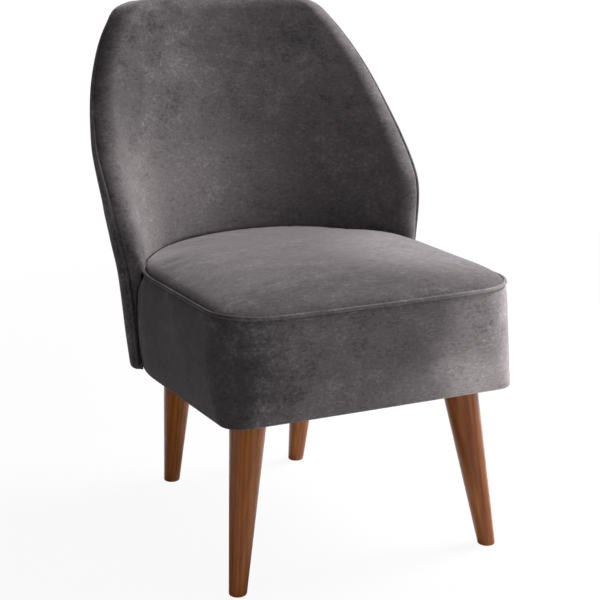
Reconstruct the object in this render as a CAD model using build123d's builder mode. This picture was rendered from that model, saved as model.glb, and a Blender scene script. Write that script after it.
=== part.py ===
"""Upholstered lounge chair: curved wrap-around back, crowned and piped seat, turned splayed legs.

Millimetres. +Z is up, +Y points to the back of the chair, +X to the right seen from the front.
The origin is on the floor, under the middle of the chair.
"""

import os
from math import atan2, cos, degrees, hypot, radians, sin

from build123d import *

# Driving dimensions of the whole chair
OVERALL_DEPTH = 622.0
OVERALL_HEIGHT = 800.0
BODY_BOTTOM = 258.0  # lower edge of the upholstery
SEAT_ROUND = 265.0  # from the chair's front to the centre of the seat's round rear
GAP = 0.3  # clearance between neighbouring layers

# Seat: half width, front and corner radius of its plan at three heights
PIPING_HEIGHT = 414.0  # centre of the cord round the seat
BOXING_MIDDLE = 336.0
PLAN_TOP = (238.0, 262.0, 60.0)
PLAN_MIDDLE = (240.0, 261.0, 52.0)
PLAN_BOTTOM = (235.0, 250.0, 43.0)
SMALLEST_CORNER = 5.0
FRONT_BOW = 9.0  # the front is this much fuller in its middle than at its corners
CROWN_RISE = 36.0  # top of the crown above the cord
CROWN_STEPS = ((1.0, 0.0), (0.94, 0.42), (0.82, 0.72), (0.62, 0.92), (0.36, 1.0))
PIPING = 6.0  # diameter of the sewn cords
COVER = 3.0  # velvet with its thin wadding
BOXING_TUCK = 104.0  # the seat band ends this far behind the round centre, hidden by the back
RAIL_PADDING = 6.0

# Seat frame
RAIL_THICK = 22.0
RAIL_HEIGHT = 76.0
RAIL_LIFT = 4.0  # bottom of the rails above the upholstery's lower edge
SIDE_RAIL_END = 40.0  # behind the round centre
REAR_RAIL_WIDTH = 38.0
BLOCK_HEIGHT = 38.0
FRONT_BLOCK = 104.0
FRONT_BLOCK_END = 44.0
REAR_BLOCK_DEPTH = 60.0
REAR_BLOCK_WIDTH = 84.0
DUST_COVER = 1.0
DUST_COVER_INSET = 9.0

# Suspension
STRAP_WIDTH = 50.0
STRAP_THICK = 1.6
STRAP_PITCH = 88.0
STRAP_COUNT = 4
CROSS_SHIFT = -50.0  # middle of the crosswise straps, from the round centre
STRAP_HOLD = 14.0  # length of strap stapled down on a rail
HESSIAN = 1.2

# Legs: place of each top from the middle and from the round centre, and the way it splays
LEG_TOP = 55.0
LEG_FOOT = 26.0
LEG_FOOT_ROUND = 3.0
LEG_SPLAY = 50.5  # the foot stands this far out from the leg's top
FRONT_LEG = (174.0, -181.0)
FRONT_SPLAY = -45.0
REAR_LEG = (117.0, 204.0)
REAR_SPLAY = 90.0

# Fixings
BOLT = 7.8
BOLT_IN_LEG = 38.0
BOLT_PLAY = 0.4
BOLT_END = 4.0  # thread standing above the nut's flange
NUT_BARREL = 10.6
NUT_BARREL_LENGTH = 9.0
NUT_FLANGE = 22.0
NUT_FLANGE_THICK = 1.6
NUT_RECESS = 8.0  # the nut lies this deep in its block
BACK_BOLT_HEAD = 16.0
BACK_BOLT_HEAD_THICK = 4.0
BACK_BOLT_LENGTH = 34.0
BACK_BOLT_SPREAD = 10.0  # degrees to each side of a rear leg

# Back: rear middle of its inside and outside, and the cord up its edge as rise, half width and depth
PAD = 44.0  # thickness of the padded edge
INSIDE_FOOT = 207.0
INSIDE_RAKE = 0.203
OUTSIDE_FOOT = 285.0
OUTSIDE_RAKE = 0.138
CORD_OFFSET = 8.0  # the cord lies this far outside the middle of the edge
EDGE_RISE = 520.0  # the side edge as drawn here, from the lower edge up to the top roll
EDGE = (
    (0.0, 237.0, 76.0),
    (144.0, 250.0, 85.0),
    (204.0, 259.5, 92.0),
    (250.0, 266.0, 106.0),
    (282.0, 267.0, 129.0),
    (318.0, 265.5, 161.0),
    (362.0, 258.0, 196.0),
    (407.0, 246.5, 228.0),
    (447.0, 231.0, 255.0),
    (484.0, 211.5, 280.0),
)
TOP_ROLL = ((0.0, 186.0, 303.0), (35.0, 169.0, 312.0), (60.0, 150.0, 320.0), (78.0, 130.0, 327.0))
TOP_CORD = (6.0, 8.5, 11.0, 13.5)  # across the top the cord moves this far back, out of sight
SHELL_THICK = 12.0
END_MARGIN = 12.0  # degrees that a cutting surface runs past the edge
END_LIMIT = 86.0

# Places that follow from the sizes above
ROUND_Y = SEAT_ROUND - OVERALL_DEPTH / 2
RAIL_BOTTOM = BODY_BOTTOM + RAIL_LIFT
RAIL_TOP = RAIL_BOTTOM + RAIL_HEIGHT
BLOCK_TOP = RAIL_BOTTOM + BLOCK_HEIGHT
NUT_SEAT = BLOCK_TOP - NUT_RECESS
RAIL_INSET = COVER + GAP + RAIL_PADDING + GAP
STRAP_BASE = RAIL_TOP + GAP
STRAP_RISE = STRAP_THICK + GAP
HESSIAN_BASE = STRAP_BASE + 2 * STRAP_RISE
FOAM_BASE = HESSIAN_BASE + HESSIAN + GAP
LEG_HEIGHT = RAIL_BOTTOM - DUST_COVER - 2 * GAP
CORD_ROOM = PIPING / 2 + GAP
ROLL_BASE = OVERALL_HEIGHT - PAD / 2
BACK_RISE = ROLL_BASE - BODY_BOTTOM
BEYOND = OVERALL_HEIGHT  # longer than any piece
HALF_WIDTH = PLAN_TOP[0]
RAIL_OUT = HALF_WIDTH - RAIL_INSET
FRONT_RAIL_Y = ROUND_Y - PLAN_BOTTOM[1] + RAIL_INSET + FRONT_BOW / 2
LEGS = {
    "front_left": (-FRONT_LEG[0], FRONT_LEG[1], 180 - FRONT_SPLAY),
    "front_right": (FRONT_LEG[0], FRONT_LEG[1], FRONT_SPLAY),
    "rear_left": (-REAR_LEG[0], REAR_LEG[1], REAR_SPLAY),
    "rear_right": (REAR_LEG[0], REAR_LEG[1], REAR_SPLAY),
}

INWARD = (Align.CENTER, Align.CENTER, Align.MAX)
OUTWARD = (Align.CENTER, Align.CENTER, Align.MIN)

os.makedirs("parts", exist_ok=True)


def save(part, name):
    part.label = name
    export_step(part, f"parts/{name}.step")


def seat_plan(height, plan, inset=0.0, share=1.0):
    """D-shaped plan of the seat at a height, moved in by inset and shrunk to share about its centre."""
    half = (plan[0] - inset) * share
    front = (plan[1] - inset) * share
    corner = max(plan[2] - inset, SMALLEST_CORNER) * share
    bow = FRONT_BOW * share
    with BuildSketch(Plane((0, ROUND_Y, height))) as sketch:
        with BuildLine():
            ThreePointArc((-half, bow - front), (0, -front), (half, bow - front))
            Line((half, bow - front), (half, 0))
            CenterArc((0, 0), half, 0, 90)
            CenterArc((0, 0), half, 90, 90)
            Line((-half, 0), (-half, bow - front))
        make_face()
        fillet(sketch.vertices().group_by(Axis.Y)[0], corner)
    return sketch.sketch


def seat_block(plan, inset, low, high):
    """Upright block with one plan of the seat."""
    with BuildPart() as block:
        add(seat_plan(low, plan, inset))
        extrude(amount=high - low)
    return block.part


def boxing_block(inset):
    """Seat below its cord, swelling between its two edges."""
    with BuildPart() as block:
        loft(
            sections=[
                seat_plan(BODY_BOTTOM, PLAN_BOTTOM, inset),
                seat_plan(BOXING_MIDDLE, PLAN_MIDDLE, inset),
                seat_plan(PIPING_HEIGHT - CORD_ROOM, PLAN_TOP, inset),
            ]
        )
    return block.part


def crown_block(inset, base):
    """Seat above its cord, rising to its crown."""
    rise = PIPING_HEIGHT + CROWN_RISE - inset - base
    with BuildPart() as block:
        loft(sections=[seat_plan(base + rise * up, PLAN_TOP, inset, share) for share, up in CROWN_STEPS])
    return block.part


def slab(low_y, high_y, low_z, high_z):
    """Box right across the chair between two distances from the round centre."""
    with BuildPart() as box:
        with Locations((0, ROUND_Y + low_y, low_z)):
            Box(BEYOND, high_y - low_y, high_z - low_z, align=(Align.CENTER, Align.MIN, Align.MIN))
    return box.part


def axis_arc(x, y, rear):
    """Centre y and radius of the circle about the middle line through (x, y) and (0, rear)."""
    radius = (x * x + (rear - y) ** 2) / (2 * (rear - y))
    return rear - radius, radius


def back_station(height, x, y):
    """Middle of the round edge, then centre and radius of the arcs through it, inside and outside."""
    up = height - BODY_BOTTOM
    inside = INSIDE_FOOT + INSIDE_RAKE * up + PAD / 2
    outside = OUTSIDE_FOOT + OUTSIDE_RAKE * up - PAD / 2
    centre, radius = axis_arc(x, y, outside)
    out = Vector(x, y - centre).normalized()
    reach = (PAD**2 / 4 - CORD_OFFSET**2) ** 0.5
    spot = Vector(x, y) - out * CORD_OFFSET - Vector(out.Y, -out.X) * reach
    return spot, axis_arc(spot.X, spot.Y, inside), axis_arc(spot.X, spot.Y, outside)


def back_stations(inset):
    """Height and half thickness of each section of the padded back, with its edge and arcs."""
    half = PAD / 2 - inset
    stations = []
    for rise, x, y in EDGE:
        taller = rise * BACK_RISE / EDGE_RISE - rise
        height = BODY_BOTTOM + rise + taller
        stations.append((height, half, back_station(height, x, y + OUTSIDE_RAKE * taller)))
    stations[0] = (BODY_BOTTOM - abs(inset), *stations[0][1:])
    taller = BACK_RISE - EDGE_RISE
    for turn, x, y in TOP_ROLL:
        height = ROLL_BASE + half * sin(radians(turn))
        station = back_station(height, x, y + OUTSIDE_RAKE * taller)
        stations.append((height, half * cos(radians(turn)), station))
    return stations


def back_form(inset):
    """Padded back with round edges, moved in on every side by inset."""
    with BuildPart() as form:
        for height, half, (spot, inner, outer) in back_stations(inset):
            out = Vector(spot.X, spot.Y - outer[0]).normalized() * half
            into = Vector(spot.X, spot.Y - inner[0]).normalized() * half
            ahead = Vector(out.Y + into.Y, -out.X - into.X).normalized() * half
            outer_turn = atan2(out.X, out.Y) / 2
            inner_turn = atan2(into.X, into.Y) / 2
            outer_reach, inner_reach = outer[1] + half, inner[1] - half
            with BuildSketch(Plane((0, ROUND_Y, height))):
                with BuildLine():
                    ThreePointArc(
                        (0, outer[0] + outer_reach),
                        (outer_reach * sin(outer_turn), outer[0] + outer_reach * cos(outer_turn)),
                        spot + out,
                    )
                    ThreePointArc(spot + out, spot + (out + ahead).normalized() * half, spot + ahead)
                    ThreePointArc(spot + ahead, spot + (ahead - into).normalized() * half, spot - into)
                    ThreePointArc(
                        spot - into,
                        (inner_reach * sin(inner_turn), inner[0] + inner_reach * cos(inner_turn)),
                        (0, inner[0] + inner_reach),
                    )
                    mirror(about=Plane.YZ)
                make_face()
        loft(ruled=True)
    return form.part


def back_room(grow, top_shifts=(0.0,) * len(TOP_ROLL)):
    """Room in front of the outside's middle surface, that surface moved back by grow."""
    shifts = [0.0] * len(EDGE) + list(top_shifts)
    rows = [(height, arc, shift) for (height, _, arc), shift in zip(back_stations(0), shifts)]
    below = (rows[0][0] - PAD, *rows[0][1:])
    above = (rows[-1][0] + PAD, *rows[-1][1:])
    with BuildPart() as room:
        for height, (spot, _, (centre, radius)), shift in (below, *rows, above):
            reach = radius + grow + shift
            turn = radians(min(degrees(atan2(spot.X, spot.Y - centre)) + END_MARGIN, END_LIMIT))
            x, y = reach * sin(turn), reach * cos(turn)
            with BuildSketch(Plane((0, ROUND_Y + centre, height))):
                with BuildLine():
                    ThreePointArc((-x, y), (0, reach), (x, y))
                    Line((x, y), (-x, y))
                make_face()
        loft(ruled=True)
    return room.part


# Turned legs, each leaning out, cut level at the floor and under the seat, bored for its bolt
for side, (x, y, turn) in LEGS.items():
    lean = Vector(cos(radians(turn)), sin(radians(turn))) * LEG_SPLAY
    foot = Vector(x, ROUND_Y + y, 0) + lean
    rise = Vector(-lean.X, -lean.Y, BODY_BOTTOM)
    level = rise.cross(Vector(0, 0, 1))
    slope = (LEG_TOP - LEG_FOOT) / 2 / rise.length
    with BuildPart() as leg:
        with BuildSketch(Plane(foot, x_dir=level, z_dir=level.cross(rise))):
            with BuildLine():
                Polyline(
                    (0, -LEG_FOOT),
                    (LEG_FOOT / 2 - LEG_FOOT * slope, -LEG_FOOT),
                    (LEG_TOP / 2 + LEG_TOP * slope, rise.length + LEG_TOP),
                    (0, rise.length + LEG_TOP),
                    close=True,
                )
            make_face()
        revolve(axis=Axis(foot, rise))
        split(bisect_by=Plane.XY, keep=Keep.TOP)
        split(bisect_by=Plane.XY.offset(LEG_HEIGHT), keep=Keep.BOTTOM)
        fillet(leg.faces().sort_by(Axis.Z)[0].edges(), LEG_FOOT_ROUND)
        with Locations((x, ROUND_Y + y, LEG_HEIGHT)):
            Cylinder(
                (BOLT + BOLT_PLAY) / 2,
                BOLT_IN_LEG + GAP,
                align=INWARD,
                mode=Mode.SUBTRACT,
            )
    save(leg.part, f"leg_{side}")

# Hanger bolts and the prong nuts that take them
LEG_SPOTS = [(x, ROUND_Y + y) for x, y, _ in LEGS.values()]
with BuildPart() as hanger_bolts:
    with Locations([(x, y, LEG_HEIGHT - BOLT_IN_LEG) for x, y in LEG_SPOTS]):
        Cylinder(
            BOLT / 2,
            NUT_SEAT + NUT_FLANGE_THICK + BOLT_END - LEG_HEIGHT + BOLT_IN_LEG,
            align=OUTWARD,
        )
save(hanger_bolts.part, "leg_hanger_bolts")

with BuildPart() as leg_nuts:
    with Locations([(x, y, NUT_SEAT + GAP) for x, y in LEG_SPOTS]):
        Cylinder(NUT_FLANGE / 2, NUT_FLANGE_THICK, align=OUTWARD)
        Cylinder(NUT_BARREL / 2, NUT_BARREL_LENGTH, align=INWARD)
        Cylinder((BOLT + BOLT_PLAY) / 2, BEYOND, mode=Mode.SUBTRACT)
save(leg_nuts.part, "leg_prong_nuts")


def nut_hole(x, y):
    """Through hole for a prong nut's barrel, with a recess for its flange."""
    with Locations((x, y, BLOCK_TOP)):
        CounterBoreHole((NUT_BARREL + BOLT_PLAY) / 2, NUT_FLANGE / 2 + BOLT_PLAY, NUT_RECESS)


# Seat rails: front and sides inside the padded plan, the rear one a bent ring on its blocks
with BuildPart() as front_rail:
    add(seat_block(PLAN_BOTTOM, RAIL_INSET, RAIL_BOTTOM, RAIL_TOP))
    add(slab(-BEYOND, FRONT_RAIL_Y - ROUND_Y + RAIL_THICK, RAIL_BOTTOM, RAIL_TOP), mode=Mode.INTERSECT)
save(front_rail.part, "seat_front_rail")

SIDE_RAIL_FRONT = FRONT_RAIL_Y + RAIL_THICK + GAP
SIDE_RAIL_OUT = PLAN_BOTTOM[0] - RAIL_INSET
SIDE_RAIL_LENGTH = ROUND_Y + SIDE_RAIL_END - SIDE_RAIL_FRONT
for side, sign in (("left", -1), ("right", 1)):
    with BuildPart() as side_rail:
        add(seat_block(PLAN_BOTTOM, RAIL_INSET, RAIL_BOTTOM, RAIL_TOP))
        with Locations((sign * (SIDE_RAIL_OUT - RAIL_THICK / 2), SIDE_RAIL_FRONT, RAIL_BOTTOM)):
            Box(
                RAIL_THICK,
                SIDE_RAIL_LENGTH,
                RAIL_HEIGHT,
                align=(Align.CENTER, Align.MIN, Align.MIN),
                mode=Mode.INTERSECT,
            )
    save(side_rail.part, f"seat_{side}_rail")

with BuildPart() as rear_rail:
    add(seat_block(PLAN_BOTTOM, RAIL_INSET, BLOCK_TOP + GAP, RAIL_TOP))
    add(seat_block(PLAN_BOTTOM, RAIL_INSET + REAR_RAIL_WIDTH, BLOCK_TOP, RAIL_TOP + GAP), mode=Mode.SUBTRACT)
    add(slab(SIDE_RAIL_END + GAP, BEYOND, BLOCK_TOP, RAIL_TOP + GAP), mode=Mode.INTERSECT)
save(rear_rail.part, "seat_rear_rail")

# Corner blocks that carry the legs
BLOCK_X = SIDE_RAIL_OUT - RAIL_THICK - GAP
for side, sign in (("left", -1), ("right", 1)):
    with BuildPart() as front_block:
        with BuildSketch(Plane.XY.offset(RAIL_BOTTOM)):
            with BuildLine():
                Polyline(
                    (sign * BLOCK_X, SIDE_RAIL_FRONT),
                    (sign * BLOCK_X, SIDE_RAIL_FRONT + FRONT_BLOCK),
                    (sign * (BLOCK_X - FRONT_BLOCK_END), SIDE_RAIL_FRONT + FRONT_BLOCK),
                    (sign * (BLOCK_X - FRONT_BLOCK), SIDE_RAIL_FRONT + FRONT_BLOCK_END),
                    (sign * (BLOCK_X - FRONT_BLOCK), SIDE_RAIL_FRONT),
                    close=True,
                )
            make_face()
        extrude(amount=BLOCK_HEIGHT)
        nut_hole(sign * FRONT_LEG[0], ROUND_Y + FRONT_LEG[1])
    save(front_block.part, f"front_{side}_corner_block")

_, _, (OUTER_CENTRE, OUTER_REACH) = back_station(BODY_BOTTOM, *EDGE[0][1:])
SHELL_INSIDE = PAD / 2 - COVER - GAP - SHELL_THICK  # shell's inner face, from the outside's middle surface
REAR_BLOCK_OUT = OUTER_REACH + SHELL_INSIDE - GAP
REAR_TURN = degrees(atan2(REAR_LEG[0], REAR_LEG[1] - OUTER_CENTRE))
BACK_BOLT_HEAD_SEAT = SHELL_THICK - BACK_BOLT_HEAD_THICK
BACK_BOLTS = []
for turn in (-REAR_TURN, REAR_TURN):
    for spread in (-BACK_BOLT_SPREAD, BACK_BOLT_SPREAD):
        way = Vector(sin(radians(turn + spread)), cos(radians(turn + spread)))
        spot = Vector(0, ROUND_Y + OUTER_CENTRE, RAIL_BOTTOM + BLOCK_HEIGHT / 2)
        BACK_BOLTS.append(Plane(spot + way * (REAR_BLOCK_OUT + BACK_BOLT_HEAD_SEAT), z_dir=way))
for side, sign in (("left", -1), ("right", 1)):
    with BuildPart() as rear_block:
        with BuildSketch(Plane((0, ROUND_Y + OUTER_CENTRE, RAIL_BOTTOM))):
            Circle(REAR_BLOCK_OUT)
            Circle(REAR_BLOCK_OUT - REAR_BLOCK_DEPTH, mode=Mode.SUBTRACT)
            Rectangle(
                REAR_BLOCK_WIDTH,
                BEYOND,
                rotation=-sign * REAR_TURN,
                align=(Align.CENTER, Align.MIN),
                mode=Mode.INTERSECT,
            )
        extrude(amount=BLOCK_HEIGHT)
        nut_hole(sign * REAR_LEG[0], ROUND_Y + REAR_LEG[1])
        with Locations(BACK_BOLTS):
            Cylinder((BOLT + BOLT_PLAY) / 2, BACK_BOLT_LENGTH + GAP, align=INWARD, mode=Mode.SUBTRACT)
    save(rear_block.part, f"rear_{side}_leg_block")

# Interlaced seat straps: each runs over and under the straps that cross it
def strap(length, crossings, first_up):
    """Side view of one strap along its length, rising over every other crossing."""
    low, high = STRAP_BASE, STRAP_BASE + STRAP_RISE
    ramp = (STRAP_PITCH - STRAP_WIDTH) / 2
    line = [(-length / 2, low)]
    for number, place in enumerate(crossings):
        if (number % 2 == 0) == first_up:
            line += [
                (place - STRAP_WIDTH / 2 - ramp, low),
                (place - STRAP_WIDTH / 2 - GAP, high),
                (place + STRAP_WIDTH / 2 + GAP, high),
                (place + STRAP_WIDTH / 2 + ramp, low),
            ]
    line.append((length / 2, low))
    return line + [(x, z + STRAP_THICK) for x, z in reversed(line)]


PLACES = [(number - (STRAP_COUNT - 1) / 2) * STRAP_PITCH for number in range(STRAP_COUNT)]
STRAP_FRONT = FRONT_RAIL_Y + RAIL_THICK - STRAP_HOLD
with BuildPart() as long_straps:
    for number, place in enumerate(PLACES):
        rear = ((SIDE_RAIL_OUT - REAR_RAIL_WIDTH) ** 2 - (abs(place) - STRAP_WIDTH / 2) ** 2) ** 0.5
        length = ROUND_Y + rear + STRAP_HOLD - STRAP_FRONT
        middle = STRAP_FRONT + length / 2
        crossings = [ROUND_Y + CROSS_SHIFT + spot - middle for spot in PLACES]
        with BuildSketch(Plane((place, middle, 0), x_dir=(0, 1, 0), z_dir=(1, 0, 0))):
            with BuildLine():
                Polyline(*strap(length, crossings, number % 2 == 0), close=True)
            make_face()
        extrude(amount=STRAP_WIDTH / 2, both=True)
save(long_straps.part, "seat_webbing_long")

with BuildPart() as cross_straps:
    for number, place in enumerate(PLACES):
        behind = max(0.0, CROSS_SHIFT + place + STRAP_WIDTH / 2)
        length = 2 * ((SIDE_RAIL_OUT**2 - behind**2) ** 0.5 - RAIL_THICK + STRAP_HOLD)
        with BuildSketch(Plane((0, ROUND_Y + CROSS_SHIFT + place, 0), x_dir=(1, 0, 0), z_dir=(0, -1, 0))):
            with BuildLine():
                Polyline(*strap(length, PLACES, number % 2 == 1), close=True)
            make_face()
        extrude(amount=STRAP_WIDTH / 2, both=True)
save(cross_straps.part, "seat_webbing_cross")

with BuildPart() as hessian:
    add(seat_block(PLAN_BOTTOM, RAIL_INSET, HESSIAN_BASE, HESSIAN_BASE + HESSIAN))
save(hessian.part, "webbing_hessian")

# Padding round the rails, and the dust cover under them
with BuildPart() as rail_padding:
    add(boxing_block(COVER + GAP))
    add(seat_block(PLAN_BOTTOM, RAIL_INSET - GAP, 0, BEYOND), mode=Mode.SUBTRACT)
    add(slab(-BEYOND, BOXING_TUCK, RAIL_BOTTOM, FOAM_BASE - GAP), mode=Mode.INTERSECT)
save(rail_padding.part, "seat_rail_padding")

with BuildPart() as dust_cover:
    with Locations((0, ROUND_Y + OUTER_CENTRE, LEG_HEIGHT + GAP)):
        Cylinder(REAR_BLOCK_OUT - GAP, DUST_COVER, align=OUTWARD)
    add(slab(BOXING_TUCK + GAP, BEYOND, 0, BEYOND), mode=Mode.INTERSECT)
    add(seat_block(PLAN_BOTTOM, DUST_COVER_INSET, LEG_HEIGHT + GAP, LEG_HEIGHT + GAP + DUST_COVER))
    with Locations([(x, y, LEG_HEIGHT) for x, y in LEG_SPOTS]):
        Cylinder(NUT_BARREL / 2 + BOLT_PLAY, BLOCK_HEIGHT, mode=Mode.SUBTRACT)
save(dust_cover.part, "dust_cover")

# Crowned seat: foam, top cover, side band and the cord sewn between them
with BuildPart() as seat_foam:
    add(crown_block(COVER + GAP, PIPING_HEIGHT + CORD_ROOM))
    add(boxing_block(COVER + GAP))
    add(slab(-BEYOND, BEYOND, FOAM_BASE, BEYOND), mode=Mode.INTERSECT)
    add(seat_block(PLAN_TOP, CORD_ROOM + GAP, PIPING_HEIGHT - CORD_ROOM, PIPING_HEIGHT + CORD_ROOM))
save(seat_foam.part, "seat_foam")

with BuildPart() as top_cover:
    add(crown_block(0, PIPING_HEIGHT + CORD_ROOM))
    add(crown_block(COVER, PIPING_HEIGHT + CORD_ROOM - GAP), mode=Mode.SUBTRACT)
save(top_cover.part, "seat_top_cover")

with BuildPart() as boxing:
    add(boxing_block(0))
    add(boxing_block(COVER), mode=Mode.SUBTRACT)
    add(slab(-BEYOND, BOXING_TUCK, 0, BEYOND), mode=Mode.INTERSECT)
save(boxing.part, "seat_boxing_cover")

with BuildPart() as seat_cord:
    outline = seat_plan(PIPING_HEIGHT, PLAN_TOP, GAP).wire()
    with BuildSketch(Plane(outline @ 0, z_dir=outline % 0)):
        Circle(PIPING / 2)
    sweep(path=outline)
    add(slab(-BEYOND, BOXING_TUCK, 0, BEYOND), mode=Mode.INTERSECT)
save(seat_cord.part, "seat_piping")

# Padded back: plywood shell, foam, the two covers and the cord between them
SEAT_ROOM = CORD_ROOM + GAP  # the back stays clear of the seat's band and cord by this much
with BuildPart() as seat_space:
    add(seat_block(PLAN_TOP, -SEAT_ROOM, 0, PIPING_HEIGHT + SEAT_ROOM))
    add(crown_block(-SEAT_ROOM, PIPING_HEIGHT + SEAT_ROOM))

with BuildPart() as back_shell:
    add(back_form(COVER + GAP))
    add(back_room(SHELL_INSIDE), mode=Mode.SUBTRACT)
    add(slab(-BEYOND, BEYOND, RAIL_BOTTOM, BEYOND), mode=Mode.INTERSECT)
    with Locations(BACK_BOLTS):
        Cylinder((BOLT + BOLT_PLAY) / 2, BACK_BOLT_LENGTH, align=INWARD, mode=Mode.SUBTRACT)
        Cylinder((BACK_BOLT_HEAD + BOLT_PLAY) / 2, PAD, align=OUTWARD, mode=Mode.SUBTRACT)
save(back_shell.part, "back_shell")

with BuildPart() as back_bolts:
    with Locations(BACK_BOLTS):
        Cylinder(BOLT / 2, BACK_BOLT_LENGTH, align=INWARD)
        Cylinder(BACK_BOLT_HEAD / 2, BACK_BOLT_HEAD_THICK, align=OUTWARD)
save(back_bolts.part, "back_bolts")

with BuildPart() as back_foam:
    add(back_form(COVER + GAP))
    add(back_room(SHELL_INSIDE - GAP), mode=Mode.INTERSECT)
    add(seat_space.part, mode=Mode.SUBTRACT)
    add(slab(-BEYOND, BEYOND, RAIL_TOP + GAP, BEYOND), mode=Mode.INTERSECT)
save(back_foam.part, "back_foam")

with BuildPart() as back_skin:
    add(back_form(0))
    add(back_form(COVER), mode=Mode.SUBTRACT)

with BuildPart() as inside_cover:
    add(back_skin.part)
    add(back_room(CORD_OFFSET - CORD_ROOM, TOP_CORD), mode=Mode.INTERSECT)
    add(seat_space.part, mode=Mode.SUBTRACT)
save(inside_cover.part, "inside_back_cover")

with BuildPart() as outside_cover:
    add(back_skin.part)
    add(back_room(CORD_OFFSET + CORD_ROOM, TOP_CORD), mode=Mode.SUBTRACT)
save(outside_cover.part, "outside_back_cover")

with BuildPart() as back_cord:
    add(back_form(-PIPING / 2))
    add(back_form(PIPING / 2), mode=Mode.SUBTRACT)
    add(back_room(CORD_OFFSET + PIPING / 2, TOP_CORD), mode=Mode.INTERSECT)
    add(back_room(CORD_OFFSET - PIPING / 2, TOP_CORD), mode=Mode.SUBTRACT)
    add(slab(-BEYOND, BEYOND, BODY_BOTTOM, BEYOND), mode=Mode.INTERSECT)
save(back_cord.part, "back_piping")
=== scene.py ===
import math

import bmesh
import bpy
from mathutils import Matrix, Vector, noise


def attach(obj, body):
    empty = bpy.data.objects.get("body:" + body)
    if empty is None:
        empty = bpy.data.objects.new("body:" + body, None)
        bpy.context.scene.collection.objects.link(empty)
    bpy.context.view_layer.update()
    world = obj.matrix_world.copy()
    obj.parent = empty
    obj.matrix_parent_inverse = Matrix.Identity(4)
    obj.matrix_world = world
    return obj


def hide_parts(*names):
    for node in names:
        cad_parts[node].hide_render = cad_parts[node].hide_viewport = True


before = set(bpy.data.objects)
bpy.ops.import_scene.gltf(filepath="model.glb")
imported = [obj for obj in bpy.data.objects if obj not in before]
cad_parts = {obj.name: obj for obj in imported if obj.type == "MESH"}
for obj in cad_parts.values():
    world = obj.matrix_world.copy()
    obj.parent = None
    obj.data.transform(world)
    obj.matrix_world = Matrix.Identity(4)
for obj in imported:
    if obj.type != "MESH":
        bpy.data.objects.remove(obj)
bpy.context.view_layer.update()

mm = 0.001

# Sizes shared with the solids, in millimetres; plan sizes are taken from the centre of the seat's round rear
roundY = -46.0
bodyBottom = 258.0

# plans: height, half width, front, corner radius, bow of the front and straight run of the sides
# crownRows and rearRows: how far in from the cord, and how far up the crown is by then
seat = {
    "cord": 414.0, "cordRound": 2.9, "cordInset": 0.3, "crown": 36.0, "tuck": 128.0, "columns": 220,
    "plans": (
        (257.0, 236.0, 251.5, 32.0, 1.0, 25.0), (290.0, 240.5, 258.5, 56.0, 4.0, 31.0),
        (336.0, 243.0, 264.5, 74.0, 8.0, 30.0), (376.0, 242.0, 264.5, 78.0, 9.0, 29.0),
        (414.0, 238.0, 262.0, 76.0, 9.0, 8.0),
    ),
    "crownRows": (
        (0.0, 0.0), (0.012, 0.1), (0.06, 0.33), (0.18, 0.65), (0.38, 0.89), (0.64, 0.98), (1.0, 1.0),
    ),
    "rearRows": (
        (0.0, 0.0), (0.012, 0.06), (0.06, 0.2), (0.18, 0.47), (0.38, 0.78), (0.64, 0.97), (1.0, 1.0),
    ),
    "rearFade": (40.0, 180.0), "rearLift": 4.0, "liftFade": (120.0, 220.0), "edgeLift": 1.2,
    "room": 1.0, "cordRoom": 3.4, "cordSpread": 8.0, "clearOver": 4.0, "search": 0.005,
}
# edges: height, and the side edge's place across and along; topRoll: the same by the angle over the top
back = {
    "half": 22.0, "insideFoot": 207.0, "insideRake": 0.203, "outsideFoot": 285.0, "outsideRake": 0.138,
    "top": 799.5, "arc": 64, "edge": 20, "rows": 112, "rollStep": 4.0, "rolls": 21, "cloth": 2.4,
    "cordRound": 2.7, "cordOffset": 8.0, "cordOver": 48.0, "cordSink": 1.0, "cordLift": 3.0,
    "cordLiftTo": 8.0, "cordSteps": 80, "cordSoft": 6,
    "pinch": 2.6, "pinchWidth": 5.0, "pinchOver": 1.2, "pinchFade": (720.0, 777.0),
    "hem": 6.0, "hemTurns": (90, 70, 50, 32, 15),
    "flat": 2.4, "flatFrom": (430.0, 540.0), "flatTo": (620.0, 760.0), "flatArc": 0.1,
    "edges": (
        (258.0, 237.0, 76.0), (402.0, 248.0, 84.0), (462.0, 259.0, 92.0), (508.0, 266.0, 106.0),
        (540.0, 267.0, 129.0), (576.0, 265.5, 161.0), (620.0, 258.0, 196.0), (665.0, 246.5, 228.0),
        (705.0, 231.0, 255.0), (742.0, 211.5, 280.0), (777.5, 186.0, 302.7),
    ),
    "topRoll": (
        (0.0, 186.0, 302.7), (35.0, 169.0, 312.0), (60.0, 149.5, 320.0), (78.0, 129.0, 327.0),
        (90.0, 114.0, 331.0),
    ),
    "foot": (350.0, 414.0), "footTurn": 62.5, "footRoom": -1.2, "footNose": 0.01, "noseFrom": 0.8,
    "footThin": 1.889, "thinFade": (238.0, 330.0), "bulge": (412.0, 35.0, 14.0),
}
rollBase = back["top"] - back["half"]


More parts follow.
